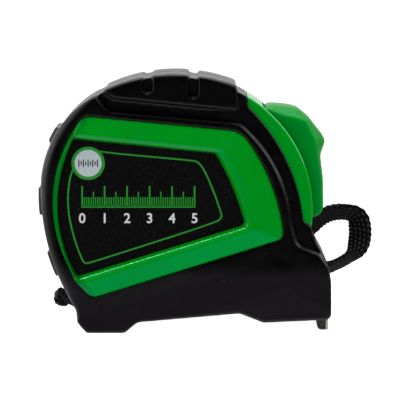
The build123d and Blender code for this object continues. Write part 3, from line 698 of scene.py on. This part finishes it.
stations = sorted(set(list(np.linspace(B_X0, B_FLAT, 18)) + list(np.linspace(B_FLAT, CUT0, 11)) + list(np.linspace(CUT1, B_X1, 15))))
rows = [blade_row(x) for x in stations]
n = len(rows[0])
verts = [mm(*p) for r in rows for p in r]
faces = []
for i in range(len(rows) - 1):
    for j in range(n):
        k = (j + 1) % n
        faces.append((i * n + j, i * n + k, (i + 1) * n + k, (i + 1) * n + j))
faces.append(tuple(range(n)))
faces.append(tuple(range((len(rows) - 1) * n, len(rows) * n))[::-1])
blade = face_out(mesh_object("printed_blade", verts, faces))
smooth_by_angle(blade)
blade.data.materials.append(M["blade_print"])
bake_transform(blade, "case", "blade", mm(CUT0, 0, B_Z), mm(CUT1, 0, B_Z))
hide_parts("tape_blade")


# ------------------------------------------------------------------ print on the labels
FACE_Y = {"near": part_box("label_near")[0][1] * 1000.0 + OY, "far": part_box("label_far")[1][1] * 1000.0 + OY}


def outline_band(points, width, y0, y1, name, mat, closed=True, sub=3):
    """A printed line of even width along a polygon in the label's plane, as a thin closed solid."""
    p = np.array(points, float)
    for _ in range(sub):
        q = np.roll(p, -1, 0)
        p = np.stack([0.75 * p + 0.25 * q, 0.25 * p + 0.75 * q], axis=1).reshape(-1, 2)
    d = unit(np.roll(p, -1, 0) - np.roll(p, 1, 0))
    nrm = np.stack([-d[:, 1], d[:, 0]], axis=1)
    a, b = p + nrm * width / 2, p - nrm * width / 2
    n = len(p)
    v = [mm(x, y0, z) for x, z in a] + [mm(x, y0, z) for x, z in b] + [mm(x, y1, z) for x, z in a] + [mm(x, y1, z) for x, z in b]
    f = []
    for i in range(n):
        k = (i + 1) % n
        f += [(i, k, n + k, n + i), (2 * n + i, 3 * n + i, 3 * n + k, 2 * n + k), (i, 2 * n + i, 2 * n + k, k), (n + i, n + k, 3 * n + k, 3 * n + i)]
    o = face_out(mesh_object(name, v, f, smooth=False))
    o.data.materials.append(mat)
    return o


def bars(items, y0, y1, name, mat):
    """Several flat bars, each (x0, z0, x1, z1, width), as thin closed solids in one piece."""
    v, f = [], []
    for x0, z0, x1, z1, w in items:
        d = unit(np.array([x1 - x0, z1 - z0]))
        nrm = np.array([-d[1], d[0]]) * w / 2
        e = d * 0.0
        quad = [(x0 + nrm[0], z0 + nrm[1]), (x0 - nrm[0], z0 - nrm[1]), (x1 - nrm[0], z1 - nrm[1]), (x1 + nrm[0], z1 + nrm[1])]
        s = len(v)
        v += [mm(x, y0, z) for x, z in quad] + [mm(x, y1, z) for x, z in quad]
        f += [(s, s + 1, s + 2, s + 3), (s + 7, s + 6, s + 5, s + 4)]
        f += [(s + i, s + 4 + i, s + 4 + (i + 1) % 4, s + (i + 1) % 4) for i in range(4)]
    o = face_out(mesh_object(name, v, f, smooth=False))
    o.data.materials.append(mat)
    return o


def turned(profile, centre, face_y, name, mat, n=96):
    """A round piece turned about the label's normal: profile is (radius, height above the label)."""
    out = 1 if face_y > 0 else -1
    v, f = [], []
    for i in range(n):
        a = 2 * math.pi * i / n
        for r, h in profile:
            v.append(mm(centre[0] + r * math.cos(a), face_y + out * h, centre[1] + r * math.sin(a)))
    m = len(profile)
    for i in range(n):
        k = (i + 1) % n
        for j in range(m):
            l = (j + 1) % m
            f.append((i * m + j, i * m + l, k * m + l, k * m + j))
    o = mesh_object(name, v, f)
    import bmesh
    bm = bmesh.new()
    bm.from_mesh(o.data)
    bmesh.ops.remove_doubles(bm, verts=bm.verts[:], dist=1e-7)
    bmesh.ops.recalc_face_normals(bm, faces=bm.faces[:])
    bm.to_mesh(o.data)
    bm.free()
    smooth_by_angle(o)
    o.data.materials.append(mat)
    return o


BORDER = [
    (-30.17, 48.19), (-25.25, 47.03), (-1.94, 44.95), (-0.65, 44.61), (0.73, 43.18), (3.11, 38.11),
    (5.45, 31.47), (5.68, 30.17), (4.54, 28.92), (-21.17, 20.65), (-28.45, 18.35), (-29.88, 18.06),
    (-30.65, 18.95), (-32.71, 24.57), (-33.99, 30.04), (-34.31, 33.95), (-34.22, 37.33), (-33.43, 42.01),
]
BADGE = (-29.01, 44.22)
prints = []
for flip, side in ((-1, "near"), (1, "far")):
    face_y = FACE_Y[side]
    y0, y1 = face_y - flip * 0.01, face_y + flip * 0.04
    prints.append((outline_band(BORDER, 0.42, y0, y1, f"label_line_{side}", INK_GREEN), "case_green"))
    # a plain ruler in the middle of the label
    scale_x0, scale_x1, base_z, count = -30.6, -1.4, 32.9, 50
    items = [(scale_x0 - 0.25, base_z, scale_x1 + 0.25, base_z, 0.5)]
    for i in range(count + 1):
        x = scale_x0 + (scale_x1 - scale_x0) * i / count
        tall = 5.4 if i % 10 == 0 else 3.9 if i % 5 == 0 else 2.5
        items.append((x, base_z, x, base_z + tall, 0.42 if i % 10 == 0 else 0.3))
    prints.append((bars(items, y0, y1 + flip * 0.004, f"label_ruler_{side}", INK_GREEN), "case_green"))
    ring = [(3.5, 0.0), (4.33, 0.0), (4.33, 0.1), (4.2, 0.14), (3.62, 0.14), (3.5, 0.1)]
    prints.append((turned(ring, BADGE, face_y, f"badge_ring_{side}", INK_GREEN), "case_green"))
    disc = [(0.0, 0.0), (3.52, 0.0), (3.52, 0.08), (3.3, 0.1), (2.0, 0.115), (0.0, 0.12)]
    prints.append((turned(disc, BADGE, face_y, f"badge_disc_{side}", PLATE_PALE), "label_black"))
    marks = []
    for i in range(9):
        x = BADGE[0] - 2.4 + 0.6 * i
        marks.append((x, BADGE[1] - (0.95 if i % 2 == 0 else 0.5), x, BADGE[1] + (0.95 if i % 2 == 0 else 0.5), 0.3))
    prints.append((bars(marks, face_y + flip * 0.1, face_y + flip * 0.13, f"badge_marks_{side}", INK_BLACK), "label_black"))
    for i, digit in enumerate("012345"):
        cu = bpy.data.curves.new("digit", "FONT")
        cu.body = digit
        cu.size = 0.0036
        cu.extrude = 0.00003
        cu.offset = 0.00006
        cu.align_x = "CENTER"
        ob = bpy.data.objects.new("digit", cu)
        scene.collection.objects.link(ob)
        x = scale_x0 + (scale_x1 - scale_x0) * i / 5
        if flip > 0:
            x = scale_x1 - (scale_x1 - scale_x0) * i / 5
        ob.location = mm(x, face_y + flip * 0.01, 28.7)
        ob.rotation_euler = (math.pi / 2, 0, 0 if flip < 0 else math.pi)
        bpy.context.view_layer.update()
        me = bpy.data.meshes.new_from_object(ob)
        me.transform(ob.matrix_world)
        bpy.data.objects.remove(ob)
        num = bpy.data.objects.new(f"label_digit_{side}_{i}", me)
        scene.collection.objects.link(num)
        num.data.materials.clear()
        num.data.materials.append(INK_GREY)
        prints.append((num, "label_black"))
for o, slot_name in prints:
    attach(o, "case")


# ------------------------------------------------------------------ floor, backdrop and light
def bowl_floor():
    """A white sheet that is level under the object and curves up all round it, far out."""
    prof = [(0.0, 0.0), (0.05, 0.0), (0.2, 0.0), (0.6, 0.0), (1.2, 0.0)]
    for i in range(1, 13):
        a = math.pi / 2 * i / 12
        prof.append((1.2 + 0.6 * math.sin(a), 0.6 - 0.6 * math.cos(a)))
    prof.append((1.8, 2.6))
    n = 64
    v = [(0.0, 0.0, 0.0)]
    for r, z in prof[1:]:
        v += [(r * math.cos(2 * math.pi * k / n), r * math.sin(2 * math.pi * k / n), z) for k in range(n)]
    f = [(0, 1 + k, 1 + (k + 1) % n) for k in range(n)]
    for i in range(len(prof) - 2):
        f += [(1 + i * n + k, 1 + (i + 1) * n + k, 1 + (i + 1) * n + (k + 1) % n, 1 + i * n + (k + 1) % n) for k in range(n)]
    return mesh_object("studio_sheet", v, f)


sheet = bowl_floor()
sm = Mat("studio_white", Specular_IOR_Level=0.0, Roughness=0.9)
sm.to("Base Color", sm.ramp(sm.noise(14.0, 4.0), (0.3, 0.16), (0.7, 0.2)))
sm.b.inputs["Emission Color"].default_value = (1, 1, 1, 1)
sm.b.inputs["Emission Strength"].default_value = 1.0
sheet.data.materials.append(sm.m)
sheet.visible_glossy = False


def softbox(name, at, look, size_x, size_y, radiance, gloss=True, diffuse=True):
    d = bpy.data.lights.new(name, "AREA")
    d.shape = "RECTANGLE"
    d.size, d.size_y = size_x, size_y
    d.energy = radiance * math.pi * size_x * size_y
    o = bpy.data.objects.new(name, d)
    scene.collection.objects.link(o)
    o.location = at
    o.rotation_euler = (Vector(look) - Vector(at)).to_track_quat("-Z", "Y").to_euler()
    o.visible_glossy, o.visible_diffuse = gloss, diffuse
    o.visible_camera = False
    return o


softbox("top_box", (0.0, 0.12, 0.8), (0.0, 0.0, 0.03), 0.7, 0.34, 5.2)
softbox("front_top_box", (-0.1, -0.34, 0.74), (0.0, 0.0, 0.03), 0.6, 0.34, 4.2, gloss=False)
softbox("front_fill", (-0.2, -0.85, 0.55), (0.0, 0.0, 0.03), 0.6, 0.5, 0.3, gloss=False)
softbox("left_box", (-0.8, -0.05, 0.3), (0.0, 0.0, 0.035), 0.4, 0.6, 1.6)
softbox("right_box", (0.75, 0.05, 0.5), (0.0, 0.0, 0.035), 0.4, 0.5, 5.0)
# a narrow light that draws the bright line along the glossy frame's lip
strip = softbox("strip_box", (-0.27, -0.1, 0.74), (0.0, 0.0, 0.03), 0.16, 0.2, 105.0, diffuse=False)
lit = bpy.data.collections.new("glossy_case")
for name in ("case_near", "case_far"):
    lit.objects.link(nodes[name])
strip.light_linking.receiver_collection = lit
strip.data.color = (1.0, 0.5, 0.37)

# and a pale card in front that the hook's bend mirrors
card = softbox("hook_card", (0.5, -0.14, 0.06), (0.03, -0.01, 0.003), 0.5, 0.4, 1.05, diffuse=False)
card.data.color = (1.0, 0.94, 0.87)
near_hook = bpy.data.collections.new("bright_hook")
near_hook.objects.link(hook)
card.light_linking.receiver_collection = near_hook

# the room round the object: pale all round, with a dark gap on the side that the label faces
world = bpy.data.worlds.new("studio")
scene.world = world
world.use_nodes = True
wt = world.node_tree
wt.nodes.clear()
w_out = wt.nodes.new("ShaderNodeOutputWorld")
bg = wt.nodes.new("ShaderNodeBackground")
wt.links.new(bg.outputs[0], w_out.inputs[0])
w_tc = wt.nodes.new("ShaderNodeTexCoord")
w_xyz = wt.nodes.new("ShaderNodeSeparateXYZ")
wt.links.new(w_tc.outputs["Generated"], w_xyz.inputs[0])


def w_math(op, a, b=None, c=None):
    n = wt.nodes.new("ShaderNodeMath")
    n.operation = op
    for i, v in enumerate((a, b, c)):
        if isinstance(v, (int, float)):
            n.inputs[i].default_value = v
        elif v is not None:
            wt.links.new(v, n.inputs[i])
    return n.outputs[0]


def w_step(v, lo, hi):
    n = wt.nodes.new("ShaderNodeMapRange")
    n.interpolation_type = "SMOOTHSTEP"
    n.inputs["From Min"].default_value, n.inputs["From Max"].default_value = math.radians(lo), math.radians(hi)
    wt.links.new(v, n.inputs["Value"])
    return n.outputs[0]


w_az = w_math("ARCTAN2", w_xyz.outputs["X"], w_math("MULTIPLY", w_xyz.outputs["Y"], -1.0))
w_el = w_math("ARCSINE", w_xyz.outputs["Z"])
gap = w_math("MULTIPLY", w_step(w_az, -72, -46), w_math("SUBTRACT", 1.0, w_step(w_az, 80, 112)))
gap = w_math("MULTIPLY", gap, w_math("MULTIPLY", w_step(w_el, -34, -16), w_math("SUBTRACT", 1.0, w_step(w_el, 72, 82))))
# and a dimmer stretch behind the front end
dim = w_math("MULTIPLY", w_step(w_az, 70, 100), w_math("SUBTRACT", 1.0, w_step(w_az, 150, 172)))
dim = w_math("MULTIPLY", dim, w_math("SUBTRACT", 1.0, w_step(w_el, 30, 55)))
room = w_math("MULTIPLY_ADD", gap, -1.09, 1.1)
wt.links.new(w_math("MULTIPLY", room, w_math("MULTIPLY_ADD", dim, -0.72, 1.0)), bg.inputs["Strength"])
bg.inputs["Color"].default_value = (1, 1, 1, 1)
scene.view_settings.view_transform = "Standard"
scene.view_settings.look = "None"
